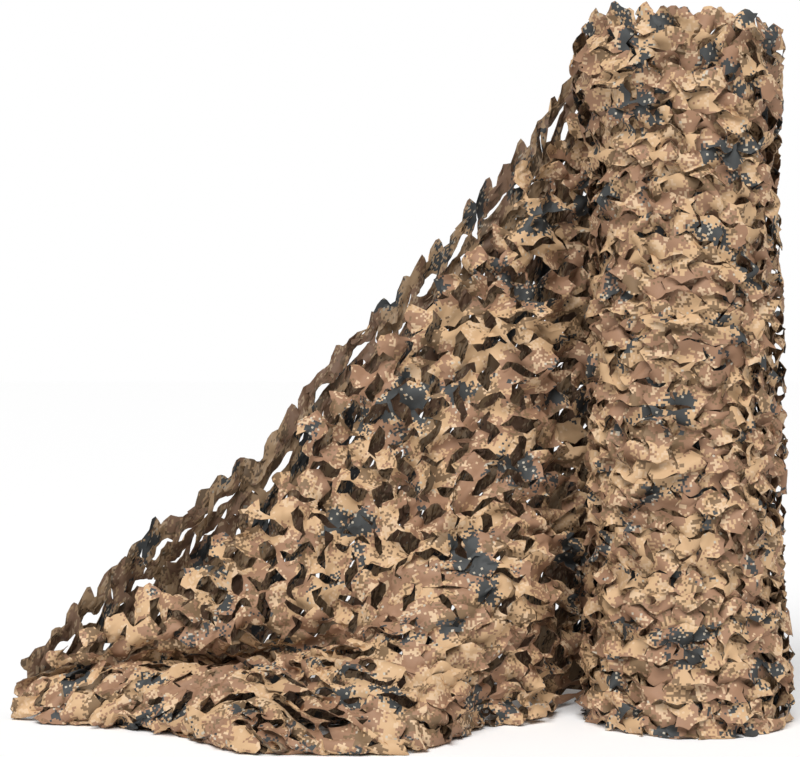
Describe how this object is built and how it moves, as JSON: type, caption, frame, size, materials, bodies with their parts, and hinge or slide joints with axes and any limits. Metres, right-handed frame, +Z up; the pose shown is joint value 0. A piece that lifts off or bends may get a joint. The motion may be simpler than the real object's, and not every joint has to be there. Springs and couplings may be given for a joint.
{
  "type": "rolled camouflage shade net",
  "caption": "Camouflage shade net of slit leaf cloth, doubled and wound into a standing roll, its outer stretch drawn off to one side and heaped on the floor.",
  "frame": {"origin": "middle of the roll's foot, on the floor", "axes": "+Z up along the roll's axis, +X to the roll's free side with the free stretch drawn off towards -X, +Y to the back"},
  "size_m": [1.7306, 0.6592, 1.529],
  "materials": {
    "net_cloth": "matte printed polyester, slit into leaves"
  },
  "bodies": {
    "root": {"net_roll": "net_cloth", "net_free_stretch": "net_cloth"}
  },
  "joints": []
}
